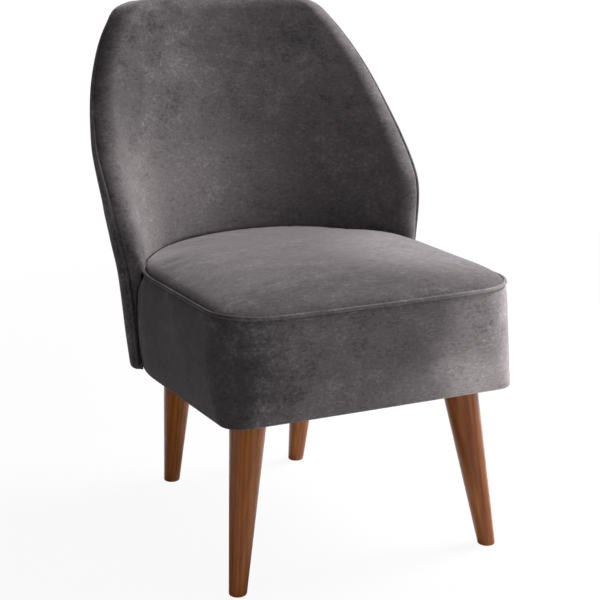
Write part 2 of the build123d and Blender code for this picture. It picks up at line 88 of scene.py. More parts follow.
def blendCurve(rows, at):
    # monotone cubic through rows of (place, value, value, ...)
    count = len(rows)
    at = min(max(at, rows[0][0]), rows[-1][0])
    spot = max(i for i in range(count - 1) if rows[i][0] <= at)
    width = rows[spot + 1][0] - rows[spot][0]
    part = (at - rows[spot][0]) / width
    found = []
    for column in range(1, len(rows[0])):
        steps = [(rows[i + 1][column] - rows[i][column]) / (rows[i + 1][0] - rows[i][0])
                 for i in range(count - 1)]

        def slope(i):
            if i == 0 or i == count - 1:
                return steps[min(i, count - 2)]
            if steps[i - 1] * steps[i] <= 0:
                return 0.0
            return 2 * steps[i - 1] * steps[i] / (steps[i - 1] + steps[i])

        low, high = rows[spot][column], rows[spot + 1][column]
        first, last = slope(spot) * width, slope(spot + 1) * width
        square, cube = part * part, part**3
        found.append(low * (2 * cube - 3 * square + 1) + first * (cube - 2 * square + part)
                     + high * (3 * square - 2 * cube) + last * (cube - square))
    return found


def ease(low, high, value):
    part = min(max((value - low) / (high - low), 0.0), 1.0)
    return part * part * (3 - 2 * part)


def point(x, y, z):
    return Vector((x * mm, (y + roundY) * mm, z * mm))


# Mesh helpers
def meshObject(name, spots, faces):
    mesh = bpy.data.meshes.new(name)
    mesh.from_pydata([tuple(spot) for spot in spots], [], faces)
    mesh.update()
    made = bpy.data.objects.new(name, mesh)
    bpy.context.scene.collection.objects.link(made)
    return made


def cleanMesh(made, weld=0.00004):
    work = bmesh.new()
    work.from_mesh(made.data)
    bmesh.ops.remove_doubles(work, verts=work.verts, dist=weld)
    bmesh.ops.dissolve_degenerate(work, edges=work.edges, dist=weld / 4)
    bmesh.ops.recalc_face_normals(work, faces=work.faces)
    work.to_mesh(made.data)
    work.free()
    made.data.polygons.foreach_set("use_smooth", [True] * len(made.data.polygons))
    made.data.update()


def gridFaces(rows, columns, closed=False, start=0):
    faces = []
    for row in range(rows - 1):
        for column in range(columns if closed else columns - 1):
            right = (column + 1) % columns
            low, high = start + row * columns, start + (row + 1) * columns
            faces.append((low + column, low + right, high + right, high + column))
    return faces


def applyModifiers(made):
    ready = made.evaluated_get(bpy.context.evaluated_depsgraph_get())
    mesh = bpy.data.meshes.new_from_object(ready)
    made.modifiers.clear()
    made.data = mesh
    mesh.polygons.foreach_set("use_smooth", [True] * len(mesh.polygons))
    mesh.update()


def tube(name, path, radius, sides=12):
    # round cord along a path, its rings carried along without twist
    spots, faces = [], []
    ahead = [(path[min(i + 1, len(path) - 1)] - path[max(i - 1, 0)]).normalized() for i in range(len(path))]
    up = ahead[0].orthogonal().normalized()
    for place, way in zip(path, ahead):
        up = (up - way * up.dot(way)).normalized()
        across = way.cross(up)
        for side in range(sides):
            turn = 2 * math.pi * side / sides
            spots.append(place + (up * math.cos(turn) + across * math.sin(turn)) * radius)
    faces += gridFaces(len(path), sides, closed=True)
    faces.append(tuple(reversed(range(sides))))
    faces.append(tuple(range(len(spots) - sides, len(spots))))
    made = meshObject(name, spots, faces)
    cleanMesh(made)
    return made


def softenPath(path, rounds):
    for _ in range(rounds):
        path = [path[0]] + [path[i - 1] * 0.25 + path[i] * 0.5 + path[i + 1] * 0.25
                            for i in range(1, len(path) - 1)] + [path[-1]]
    return path


# Outline of the seat in plan: from the middle of its rear by the left to the front, and back by the right
def seatLoop(half, front, corner, bow, straight, count):
    reach = (half**2 + bow**2) / (2 * bow)
    bowY = reach - front
    cornerX = half - corner
    cornerY = bowY - math.sqrt((reach - corner) ** 2 - cornerX**2)
    lean = math.atan2(cornerX, bowY - cornerY)
    quarter, sweep = math.pi / 2, math.pi / 2 - lean
    runs = (
        (half * quarter, lambda t: (-half * math.sin(t * quarter), straight + half * math.cos(t * quarter))),
        (straight - cornerY, lambda t: (-half, straight + t * (cornerY - straight))),
        (corner * sweep,
         lambda t: (-cornerX - corner * math.cos(t * sweep), cornerY - corner * math.sin(t * sweep))),
        (reach * lean,
         lambda t: (-reach * math.sin(lean * (1 - t)), bowY - reach * math.cos(lean * (1 - t)))),
    )
    total = sum(length for length, _ in runs)
    left = []
    for step in range(count // 2):
        along = total * step / (count // 2)
        for length, place in runs:
            if along <= length:
                left.append(place(along / length))
                break
            along -= length
    return left + [(0.0, -front)] + [(-x, y) for x, y in reversed(left[1:])]


def seatEdgeHeight(edgeY):
    # the crown starts at the cord, and a little higher where the back hides it
    return seat["cord"] + seat["edgeLift"] + seat["rearLift"] * ease(*seat["liftFade"], edgeY)


def seatHeight(edgeY, inward):
    # the crown's height, flatter towards the back
    rear = ease(*seat["rearFade"], edgeY)
    front, flatter = (blendCurve(seat[rows], inward)[0] for rows in ("crownRows", "rearRows"))
    low = seatEdgeHeight(edgeY)
    return low + (seat["cord"] + seat["crown"] - low) * (front * (1 - rear) + flatter * rear)


def seatReach(turn, height):
    # how far the seat reaches from its round centre at a height, with room for its cord
    half, straight = (blendCurve(seat["plans"], height)[i] for i in (0, 4))
    edgeY = half * math.cos(turn) + straight
    share, room = 1.0, seat["room"]
    if height > seatEdgeHeight(edgeY):
        while share > 0.0 and seatHeight(edgeY, 1 - share) < height:
            share -= seat["search"]
    else:
        room += seat["cordRoom"] * math.exp(-(((height - seat["cord"]) / seat["cordSpread"]) ** 2))
    grown, straight = half * share + room, straight * share
    reach = straight * math.cos(turn) + math.sqrt(grown**2 - (straight * math.sin(turn)) ** 2)
    if reach * math.cos(turn) < straight:
        reach = grown / abs(math.sin(turn))
    return reach


def clearOfSeat(x, y, height):
    if height < seat["cord"] + seat["crown"] + seat["clearOver"]:
        reach, least = math.hypot(x, y), seatReach(math.atan2(x, y), height)
        if reach < least:
            return x * least / reach, y * least / reach
    return x, y


# One level section of the padded back
def backSection(turn, height):
    half = back["half"]
    if turn:
        x, y = blendCurve(back["topRoll"], turn)
        height = rollBase + half * math.sin(math.radians(turn))
    else:
        x, y = blendCurve(back["edges"], height)
    up = height - bodyBottom
    inside = back["insideFoot"] + back["insideRake"] * up + half
    outside = back["outsideFoot"] + back["outsideRake"] * up - half

    def axisArc(px, py, rear):
        radius = (px * px + (rear - py) ** 2) / (2 * (rear - py))
        return rear - radius, radius

    centre, _ = axisArc(x, y, outside)
    out = Vector((x, y - centre)).normalized()
    reach = math.sqrt(half * half - back["cordOffset"] ** 2)
    spot = Vector((x, y)) - out * back["cordOffset"] - Vector((out.y, -out.x)) * reach
    return {
        "turn": turn, "height": height, "spot": spot, "thin": half * math.cos(math.radians(turn)),
        "inner": axisArc(spot.x, spot.y, inside), "outer": axisArc(spot.x, spot.y, outside),
    }


def flatSink(height):
    # the outside lies a little flatter beside the cord, but not at its foot or its top
    return back["flat"] * ease(*back["flatFrom"], height) * (1 - ease(*back["flatTo"], height))


def edgePoint(section, part, sink=0.0):
    # round the right edge: 0 is its inside end, 1 its outside end
    spot = section["spot"]
    thin = section["thin"] - sink - flatSink(section["height"]) * ease(cordPart, 1.0, part)
    inward = math.atan2(spot.x, spot.y - section["inner"][0]) + math.pi
    outward = math.atan2(spot.x, spot.y - section["outer"][0])
    turn = inward + (outward - inward) * part
    return spot.x + thin * math.sin(turn), spot.y + thin * math.cos(turn)


def arcPoint(section, kind, part, sink=0.0):
    # along the inside or outside from left to right
    spot, (centre, radius) = section["spot"], section[kind]
    turn = math.atan2(spot.x, spot.y - centre) * (2 * part - 1)
    thin = section["thin"] - sink
    if kind == "outer":
        thin -= flatSink(section["height"]) * ease(back["flatArc"], 1.0, abs(2 * part - 1))
    radius += thin if kind == "outer" else -thin
    return radius * math.sin(turn), centre + radius * math.cos(turn)


cordPart = 0.5 + math.asin(back["cordOffset"] / back["half"]) / math.pi


def cordAt(turn):
    # the cord's place round the edge; over the top it goes out of sight behind
    return cordPart + (1 - cordPart) * ease(0.0, back["cordOver"], turn)


def pinchAt(section, part):
    away = abs(part - cordAt(section["turn"])) * math.pi * max(section["thin"], 1.0)
    deep = back["pinch"] + (back["pinchOver"] - back["pinch"]) * ease(*back["pinchFade"], section["height"])
    return deep * math.exp(-((away / back["pinchWidth"]) ** 2))


def hemSink(height):
    # the lower edge rolls under
    low = bodyBottom + back["hem"] - height
    return back["hem"] - math.sqrt(max(back["hem"] ** 2 - low * low, 0.0)) if low > 0 else 0.0


hemLevels = [bodyBottom + back["hem"] * (1 - math.sin(math.radians(a))) for a in back["hemTurns"]]
hemTop = bodyBottom + back["hem"]
sideLevels = hemLevels + [hemTop + (rollBase - hemTop) * i / back["rows"] for i in range(back["rows"] + 1)]
sections = [backSection(0.0, height) for height in sideLevels]
sections += [backSection(back["rollStep"] * i, 0.0) for i in range(1, back["rolls"] + 1)]
overRow = len(sideLevels) + int(back["cordOver"] / back["rollStep"]) - 1
hemLips = (16.0, 12.0)  # how far under the shell the hem is turned


def placed(section, spot):
    x, y = clearOfSeat(*spot, section["height"])
    return point(x, y, section["height"])


def insideRow(section, lip=0.0):
    # at the foot of the wing the cover turns from the cord straight in along the seat's side
    stop, count, arc = cordAt(section["turn"]), back["edge"], back["arc"]
    low = max(hemSink(section["height"]), lip)
    tucked = 1 - ease(*back["foot"], section["height"])
    corner = math.radians(back["footTurn"])
    cord = edgePoint(section, stop, low + pinchAt(section, stop))
    cordTurn, cordReach = math.atan2(*cord), math.hypot(*cord)

    def pulled(spot, turn, outward=0.0):
        if not tucked:
            return spot
        reach = seatReach(turn, section["height"]) + back["footRoom"]
        reach += (cordReach - reach) * outward
        goal = (reach * math.sin(turn), reach * math.cos(turn))
        return tuple(a + (b - a) * tucked for a, b in zip(spot, goal))

    side = []
    level, spread, most = back["bulge"]
    bulge = most * math.exp(-(((section["height"] - level) / spread) ** 2))
    for step in range(count + 1):
        share = step / count
        part = stop * share
        x, y = edgePoint(section, part, low + pinchAt(section, part))
        y -= bulge * math.sin(math.pi * share)
        nose = max((share - back["noseFrom"]) / (1 - back["noseFrom"]), 0.0)
        turn = corner + (cordTurn - corner) * min(share / back["noseFrom"], 1.0)
        turn += back["footNose"] * math.sin(math.pi * nose)
        side.append(pulled((x, y), turn, nose))
    middle = [pulled(arcPoint(section, "inner", i / arc), corner * (2 * i / arc - 1)) for i in range(1, arc)]
    return [(-x, y) for x, y in reversed(side)] + middle + side


def overPinch(section):
    # the crease along the cord where it crosses behind the top
    away = (section["height"] - sections[overRow]["height"]) / back["pinchWidth"]
    return back["pinchOver"] * math.exp(-(away**2))


def outsideRow(section, lip=0.0):
    # the foot draws in a little
    start, count, arc = cordAt(section["turn"]), back["edge"] // 2, back["arc"]
    low = max(hemSink(section["height"]), lip)
    thin = back["footThin"] * (1 - ease(*back["thinFade"], section["height"]))
    side = []
    for step in range(count + 1):
        part = start + (1 - start) * step / count
        sink = low + pinchAt(section, part) + thin * ease(0.0, 1.0, step / count)
        side.append(edgePoint(section, part, sink))
    sink = low + thin + overPinch(section)
    middle = [arcPoint(section, "outer", 1 - i / arc, sink) for i in range(1, arc)]
    return side + middle + [(-x, y) for x, y in reversed(side)]


def overTheTop(section):
    # closed loop above the cord's crossing: inside, right edge, outside, left edge
    arc, count, sink = back["arc"], back["edge"], overPinch(section)
    side = [edgePoint(section, i / count, pinchAt(section, i / count)) for i in range(count + 1)]
    loop = [arcPoint(section, "inner", i / arc) for i in range(1, arc)] + side
    loop += [arcPoint(section, "outer", 1 - i / arc, sink) for i in range(1, arc)]
    return loop + [(-x, y) for x, y in reversed(side)]


def makeInsideBack():
    rows = [insideRow(sections[0], lip) for lip in hemLips] + [insideRow(s) for s in sections[:overRow + 1]]
    levels = [sections[0]] * len(hemLips) + sections[:overRow + 1]
    columns = len(rows[0])
    spots = [placed(level, spot) for level, row in zip(levels, rows) for spot in row]
    faces = gridFaces(len(rows), columns)
    start = len(spots)
    loops = [overTheTop(s) for s in sections[overRow:]]
    around = len(loops[0])
    spots += [placed(level, spot) for level, loop in zip(sections[overRow:], loops) for spot in loop]
    faces += gridFaces(len(loops), around, closed=True, start=start)
    last, arc, count = start + (len(loops) - 1) * around, back["arc"], back["edge"]
    inner = [last + around - 1] + [last + i for i in range(arc)]
    outer = list(reversed([last + arc - 1 + count + i for i in range(arc + 1)]))
    faces += [(inner[i], inner[i + 1], outer[i + 1], outer[i]) for i in range(arc)]
    right = [last + arc - 1 + i for i in range(count + 1)]
    left = [last + 2 * arc - 2 + count + 1 + i for i in range(count + 1)]
    for side in (right, left):
        faces += [(side[i], side[i + 1], side[count - i - 1], side[count - i]) for i in range(count // 2)]
    made = meshObject("insideBack", spots, faces)
    cleanMesh(made)
    return made


def makeOutsideBack():
    levels = [sections[0]] * len(hemLips) + sections[:overRow + 1]
    rows = [outsideRow(sections[0], lip) for lip in hemLips] + [outsideRow(s) for s in sections[:overRow + 1]]
    spots = [placed(level, spot) for level, row in zip(levels, rows) for spot in row]
    made = meshObject("outsideBack", spots, gridFaces(len(rows), len(rows[0])))
    cleanMesh(made)
    return made


def makeBackCord():
    # its lower ends are turned in under the hem
    lift, steps, over = back["cordLift"], back["cordSteps"], sections[overRow]
    side = [point(*edgePoint(sections[0], cordPart, lip), bodyBottom + lift) for lip in hemLips]
    for section in sections[:overRow + 1]:
        height = section["height"]
        x, y = edgePoint(section, cordAt(section["turn"]), back["cordSink"] + hemSink(height))
        side.append(point(x, y, height + lift * (1 - ease(0.0, back["cordLiftTo"], height - bodyBottom))))
    top = [point(*arcPoint(over, "outer", 1 - i / steps, back["cordSink"]), over["height"])
           for i in range(1, steps)]
    left = [Vector((-spot.x, spot.y, spot.z)) for spot in reversed(side)]
    return tube("backCord", softenPath(side + top + left, back["cordSoft"]), back["cordRound"] * mm)


def thicken(made, depth):
    shell = made.modifiers.new("cloth", "SOLIDIFY")
    shell.thickness = depth * mm
    shell.offset = -1.0
    shell.use_even_offset = False
    applyModifiers(made)


# Soft swelling: the cover is blown up a little inside its pinned edge, and the movement is capped
swellFrames = 20
swellCloth = {
    "quality": 5, "mass": 0.3, "tension_stiffness": 20, "compression_stiffness": 20, "shear_stiffness": 8,
    "bending_stiffness": 2, "use_pressure": True, "uniform_pressure_force": 4.0,
}


def swell(made, pinned, cap):
    rest = [vertex.co.copy() for vertex in made.data.vertices]
    group = made.vertex_groups.new(name="sewn")
    for index, spot in enumerate(rest):
        group.add([index], pinned(spot), "REPLACE")
    settings = made.modifiers.new("swell", "CLOTH").settings
    for key, value in swellCloth.items():
        setattr(settings, key, value)
    settings.vertex_group_mass = group.name
    settings.effector_weights.gravity = 0
    for step in range(1, swellFrames + 1):
        bpy.context.scene.frame_set(step)
    ready = made.evaluated_get(bpy.context.evaluated_depsgraph_get())
    moved = [vertex.co.copy() for vertex in ready.data.vertices]
    made.modifiers.clear()
    bpy.context.scene.frame_set(1)
    for vertex, old, new in zip(made.data.vertices, rest, moved):
        step = new - old
        vertex.co = old + step * min(1.0, cap * mm / max(step.length, 1e-9))
    made.vertex_groups.clear()
    made.data.update()


# Seat top: rings from the middle out to the cord, then an underside hidden on the foam
seatTopForm = {
    "inset": 3.0, "rings": 36, "spacing": 1.7, "cornerGrowth": 180.0, "cornerMost": 0.96, "middleDrop": 10.0,
    "under": ((0.998, -5.0), (0.96, -9.0), (0.9, -12.0), (0.7, -13.0), (0.35, -13.0)),
    "sewn": (0.002, 0.016), "swell": 4.0,
}


def makeSeatTop():
    half, front, corner, bow, straight = seat["plans"][-1][1:]
    half, front, corner = (value - seatTopForm["inset"] for value in (half, front, corner))
    loop = seatLoop(half, front, corner, bow, straight, seat["columns"])
    around, rings, spots = len(loop), seatTopForm["rings"], []
    for ring in range(1, rings + 1):
        # the corners fade out towards the middle
        share = 1 - (1 - ring / rings) ** seatTopForm["spacing"]
        rounder = corner + (1 - share) * seatTopForm["cornerGrowth"]
        rounder = min(rounder, half * share * seatTopForm["cornerMost"])
        row = seatLoop(half * share, front * share, rounder, bow * share, straight * share, seat["columns"])
        spots += [point(x, y, seatHeight(edgeY, 1 - share)) for (x, y), (_, edgeY) in zip(row, loop)]
    faces = gridFaces(rings, around, closed=True)
    spots.append(point(0, 0, seat["cord"] + seat["crown"]))
    faces += [(i, (i + 1) % around, len(spots) - 1) for i in range(around)]
    edge, start = (rings - 1) * around, len(spots)
    for share, drop in seatTopForm["under"]:
        spots += [point(x * share, y * share, seatEdgeHeight(y) + drop) for x, y in loop]
    faces += [(edge + i, edge + (i + 1) % around, start + (i + 1) % around, start + i) for i in range(around)]
    faces += gridFaces(len(seatTopForm["under"]), around, closed=True, start=start)
    last = len(spots) - around
    spots.append(point(0, 0, seat["cord"] - seatTopForm["middleDrop"]))
    faces += [(last + i, last + (i + 1) % around, len(spots) - 1) for i in range(around)]
    made = meshObject("seatTop", spots, faces)
    cleanMesh(made)

    def sewn(spot):
        low = seatEdgeHeight(spot.y / mm - roundY) * mm
        return 1.0 - ease(*seatTopForm["sewn"], spot.z - low)

    swell(made, sewn, seatTopForm["swell"])
    return made


# Seat band in section, as inset and height: upper edge, outer face, rolled lower edge, hem under the rail,
# inner face; face: its top, step and count
seatBandForm = {
    "upper": ((3.4, 412.8), (2.0, 411.0), (0.8, 408.6), (0.2, 405.4)), "face": (400.0, 8.0, 17), "roll": 3.5,
    "hem": ((6.0, 257.8), (7.5, 260.6), (28.0, 261.3), (28.0, 261.8)), "padding": 8.5,
    "inside": (262.2, 280.0, 320.0, 360.0, 396.0, 406.0), "lip": (5.0, 411.0), "leastCorner": 12.0,
}


def makeSeatBand():
    top, step, count = seatBandForm["face"]
    roll, bottom = seatBandForm["roll"], seat["plans"][0][0]
    section = list(seatBandForm["upper"]) + [(0.0, top - step * i) for i in range(count)]
    section += [(roll - roll * math.cos(math.radians(a)), bottom + roll - roll * math.sin(math.radians(a)))
                for a in range(0, 91, 15)]
    section += seatBandForm["hem"]
    section += [(seatBandForm["padding"], z) for z in seatBandForm["inside"]] + [seatBandForm["lip"]]
    columns = []
    for inset, height in section:
        half, front, corner, bow, straight = blendCurve(seat["plans"], height)
        corner = max(corner - inset, seatBandForm["leastCorner"])
        columns.append(seatLoop(half - inset, front - inset, corner, bow, straight, 2 * seat["columns"]))
    around = [i for i, spot in enumerate(columns[0]) if spot[1] <= seat["tuck"]]
    spots = []
    for i in around:
        spots += [point(*columns[k][i], section[k][1]) for k in range(len(section))]
    faces = gridFaces(len(around), len(section), closed=True)
    faces.append(tuple(range(len(section))))
    faces.append(tuple(len(spots) - 1 - i for i in range(len(section))))
    made = meshObject("seatBand", spots, faces)
    cleanMesh(made)
    return made


def makeSeatCord():
    half, front, corner, bow, straight = seat["plans"][-1][1:]
    inset = seat["cordInset"]
    loop = seatLoop(half - inset, front - inset, corner, bow, straight, 2 * seat["columns"])
    path = [point(x, y, seat["cord"]) for x, y in loop if y <= seat["tuck"]]
    return tube("seatCord", path, seat["cordRound"] * mm)


# Turned legs, each with its grain along its own length
leg = {
    "topRound": 27.5, "footRound": 13.0, "edge": 3.0, "splay": 50.5, "top": 260.4, "sides": 48, "rows": 40,
    "edgeTurns": (0, 22, 45, 67, 90),
    "places": {
        "legFrontLeft": (-174.0, -181.0, 225.0), "legFrontRight": (174.0, -181.0, -45.0),
        "legRearLeft": (-117.0, 204.0, 90.0), "legRearRight": (117.0, 204.0, 90.0),
    },
    "nodes": {
        "legFrontLeft": "leg_front_left", "legFrontRight": "leg_front_right",
        "legRearLeft": "leg_rear_left", "legRearRight": "leg_rear_right",
    },
}


def makeLeg(name, x, y, turn):
    out = Vector((math.cos(math.radians(turn)), math.sin(math.radians(turn)), 0))
    across = Vector((-out.y, out.x, 0))
    foot = point(x, y, 0) + out * leg["splay"] * mm
    rise = point(x, y, bodyBottom) - foot
    frameOf = Matrix((across, rise.normalized().cross(across), rise.normalized())).transposed().to_4x4()
    frameOf.translation = foot
    stretch = rise.length / rise.z  # a level cut across a leaning leg is slightly oval
    heights = [leg["edge"] * (1 - math.cos(math.radians(a))) for a in leg["edgeTurns"]]
    heights += [leg["edge"] + (leg["top"] - leg["edge"]) * i / leg["rows"] for i in range(1, leg["rows"] + 1)]
    spots, sides = [], leg["sides"]
    for height in heights:
        radius = leg["footRound"] + (leg["topRound"] - leg["footRound"]) * height / bodyBottom
        if height < leg["edge"]:
            radius -= leg["edge"] - math.sqrt(leg["edge"] ** 2 - (leg["edge"] - height) ** 2)
        middle = foot + rise * (height / bodyBottom)
        for side in range(sides):
            angle = 2 * math.pi * side / sides
            spots.append(middle + (out * math.cos(angle) * stretch + across * math.sin(angle)) * radius * mm)
    faces = gridFaces(len(heights), sides, closed=True)
    faces.append(tuple(reversed(range(sides))))
    faces.append(tuple(range(len(spots) - sides, len(spots))))
    toLeg = frameOf.inverted()
    made = meshObject(name, [toLeg @ spot for spot in spots], faces)
    cleanMesh(made)
    for face in made.data.polygons:
        face.use_smooth = len(face.vertices) == 4
    made.matrix_world = frameOf
    return made


# Dust cover: thin cloth stapled over the frame's underside; ripple: even part, waving part, pitch and place
dust = {
    "plan": (235.0, 250.0, 43.0, 9.0), "tuck": 104.0, "inset": 9.0, "height": 260.9, "rearCentre": 29.4,
    "rearReach": 239.6, "rings": 18, "columns": 200, "sag": 2.2, "legRoom": (34.0, 90.0),
    "ripple": (0.6, 0.4, 0.012, 3.0),
}


def dustLoop(inset=0.0):
    half, front, corner, bow = dust["plan"]
    out = dust["inset"] + inset
    loop = seatLoop(half - out, front - out, corner - out, bow, 0.0, dust["columns"])
    rear = dust["rearReach"] - inset
    grown = []
    for x, y in loop:
        reach, centre = math.hypot(x, y - dust["rearCentre"]), dust["rearCentre"]
        if y > dust["tuck"] and reach < rear:
            x, y = x * rear / reach, centre + (y - centre) * rear / reach
        grown.append((x, y))
    return grown


def makeDustCover():
    loop, rings = dustLoop(), dust["rings"]
    even, wave, pitch, place = dust["ripple"]
    spots = []
    for ring in range(1, rings + 1):
        share = ring / rings
        for x, y in loop:
            px, py = x * share, y * share
            near = min(math.hypot(px - lx, py - ly) for lx, ly, _ in leg["places"].values())
            slack = ease(*dust["legRoom"], near) * (1 - share**3)
            ripple = even + wave * noise.noise(Vector((px * pitch, py * pitch, place)))
            spots.append(point(px, py, dust["height"] - dust["sag"] * slack * ripple))
    faces = gridFaces(rings, len(loop), closed=True)
    spots.append(point(0, 0, dust["height"] - dust["sag"] * even))
    faces += [(i, (i + 1) % len(loop), len(spots) - 1) for i in range(len(loop))]
    made = meshObject("dustCover", spots, faces)
    cleanMesh(made)
    return made


# Flat wire staples round the edge of the dust cover
staple = {"inset": 6.0, "every": 5, "long": 5.0, "wide": 0.6, "deep": 0.5, "leg": 1.0, "under": 0.1}


def makeStaples():
    loop, spots, faces = dustLoop(staple["inset"]), [], []
    long, wide, deep, tip, under = (staple[key] for key in ("long", "wide", "deep", "leg", "under"))
    inner = long - wide
    outside = ((-long, tip), (-long, -deep), (long, -deep), (long, tip))
    inside = ((inner, tip), (inner, under), (-inner, under), (-inner, tip))
    for i in range(0, len(loop), staple["every"]):
        here, there = Vector(loop[i]), Vector(loop[(i + 1) % len(loop)])
        ahead = (there - here).normalized()
        side = Vector((-ahead.y, ahead.x))
        start = len(spots)
        for rows, sides in ((outside, (-wide, wide)), (inside, (wide, -wide))):
            for along, drop in rows:
                for across in sides:
                    spot = here + ahead * along + side * across
                    spots.append(point(spot.x, spot.y, dust["height"] + drop))
        outline = [start + k for k in (0, 2, 4, 6, 9, 11, 13, 15)]
        other = [start + k for k in (1, 3, 5, 7, 8, 10, 12, 14)]
        for k in range(8):
            n = (k + 1) % 8
            faces.append((outline[k], outline[n], other[n], other[k]))
        for strip in (outline, other):
            faces += [(strip[k], strip[k + 1], strip[6 - k], strip[7 - k]) for k in range(3)]
    made = meshObject("dustStaples", spots, faces)
    cleanMesh(made, 0.000001)
    for face in made.data.polygons:
        face.use_smooth = False
    return made


insideBack = makeInsideBack()
outsideBack = makeOutsideBack()
thicken(insideBack, back["cloth"])
thicken(outsideBack, back["cloth"])
backCord = makeBackCord()
print("back made")
seatTop = makeSeatTop()
seatBand = makeSeatBand()
seatCord = makeSeatCord()
print("seat made")
legs = {name: makeLeg(name, *place) for name, place in leg["places"].items()}
dustCover = makeDustCover()
dustStaples = makeStaples()
print("legs and underside made")


# Shader sums: a socket with the usual operators, and one method that adds any node
class Socket:
    def __init__(self, finish, plug):
        self.finish = finish
        self.plug = plug

    def sum(self, operation, first, second):
        return self.finish.add("ShaderNodeMath", {"operation": operation}, {0: first, 1: second})

    def __add__(self, other):
        return self.sum("ADD", self, other)

    def __radd__(self, other):
        return self.sum("ADD", other, self)

    def __sub__(self, other):
        return self.sum("SUBTRACT", self, other)

    def __rsub__(self, other):
        return self.sum("SUBTRACT", other, self)

    def __mul__(self, other):
        return self.sum("MULTIPLY", self, other)


class Finish:
    def __init__(self, name):
        self.material = bpy.data.materials.new(name)
        self.material.use_nodes = True
        self.tree = self.material.node_tree
        self.tree.nodes.clear()

    def add(self, kind, settings=None, sockets=None, output=0):
        node = self.tree.nodes.new(kind)
        for key, value in (settings or {}).items():
            if key == "stops":
                ramp = node.color_ramp.elements
                while len(ramp) < len(value):
                    ramp.new(0.5)
                for stop, (place, colour) in zip(ramp, value):
                    stop.position = place
                    stop.color = (*colour, 1.0)
            else:
                setattr(node, key, value)
        for key, value in (sockets or {}).items():
            plug = node.inputs[key]
            if isinstance(value, Socket):
                self.tree.links.new(value.plug, plug)
            else:
                plug.default_value = value
        return Socket(self, node.outputs[output]) if len(node.outputs) else None

    def place(self, stretch=(1.0, 1.0, 1.0)):
        spot = self.add("ShaderNodeTexCoord", output="Object")
        return self.add("ShaderNodeVectorMath", {"operation": "MULTIPLY"}, {0: spot, 1: stretch})

    def cloud(self, spot, scale, detail=4.0, rough=0.55, twist=0.0):
        return self.add("ShaderNodeTexNoise", None, {
            "Vector": spot, "Scale": scale, "Detail": detail, "Roughness": rough, "Distortion": twist})

    def between(self, value, low, high):
        return self.add("ShaderNodeMapRange", {"interpolation_type": "SMOOTHSTEP"}, {
            "Value": value, "From Min": low, "From Max": high, "To Min": 0.0, "To Max": 1.0})

    def mix(self, factor, first, second):
        return self.add("ShaderNodeMix", {"data_type": "RGBA"}, {0: factor, 6: first, 7: second}, 2)

    def bump(self, height, distance, strength=1.0, normal=None):
        sockets = {"Height": height, "Distance": distance, "Strength": strength}
        if normal is not None:
            sockets["Normal"] = normal
        return self.add("ShaderNodeBump", None, sockets)

    def surface(self, **sockets):
        named = {key.replace("_", " "): value for key, value in sockets.items()}
        shader = self.add("ShaderNodeBsdfPrincipled", None, named)
        self.add("ShaderNodeOutputMaterial", None, {"Surface": shader})
        return self.material


def rgb(red, green, blue):
    return (red, green, blue, 1.0)


# Velvet: a fine mottled pile, soft rubbed patches, and painted light and shade in places, partly where the
# nap lies another way
# clouds: scale, detail, roughness and twist
velvet = {
    "dark": rgb(0.090, 0.081, 0.083), "plain": rgb(0.142, 0.128, 0.131), "light": rgb(0.225, 0.206, 0.210),
    "patches": (12.0, 8.0, 0.66, 0.3), "rubbed": (42.0, 6.0, 0.68, 0.2), "mottle": (210.0, 4.0, 0.75),
    "ribs": (420.0, 2.0, 0.6), "ribRun": 0.35, "pile": (1500.0, 2.0, 0.6),
    "darkTo": (0.4, 0.5), "lightFrom": (0.5, 0.62), "paintedEdge": (0.45, 1.45),
    "softBump": (0.0013, 0.6), "pileBump": (0.0004, 0.5), "roughness": 0.84, "specular": 0.02,
    "sheen": 0.45, "sheenRoughness": 0.36, "sheenTint": rgb(0.78, 0.72, 0.74),
}
# painted light and shade, partly nap lying another way: centre, size and how much lighter or darker
paintedLightAndShade = {
    # seat: painted shade along the front edge, painted light towards the right side, a little lighter on the
    # left
    "seat": (((-0.05, -0.275, 0.43), (0.22, 0.05, 0.2), -0.2), ((0.16, -0.13, 0.45), (0.13, 0.13, 0.2), 0.8),
             ((-0.15, -0.08, 0.45), (0.08, 0.07, 0.2), 0.14)),
    # band: painted light at the right end and along its lower right, painted shade on the left side
    "band": (((0.20, -0.29, 0.33), (0.10, 0.2, 0.15), 1.3), ((0.12, -0.31, 0.28), (0.10, 0.2, 0.04), 0.45),
             ((-0.24, -0.16, 0.33), (0.09, 0.34, 0.2), -0.55)),
    # back: lighter low on the inside left and low in the middle, darker at the top left and top middle,
    # partly nap and partly painted light and shade; painted shade at the foot of the left wing beside the
    # seat
    "back": (((-0.19, 0.10, 0.50), (0.05, 0.16, 0.13), 0.35), ((-0.2, 0.17, 0.70), (0.09, 0.2, 0.13), -0.3),
             ((0.0, 0.18, 0.50), (0.12, 0.2, 0.08), 0.4), ((0.01, 0.24, 0.75), (0.14, 0.2, 0.06), -0.25),
             ((-0.245, 0.035, 0.36), (0.05, 0.08, 0.11), -0.5)),
}


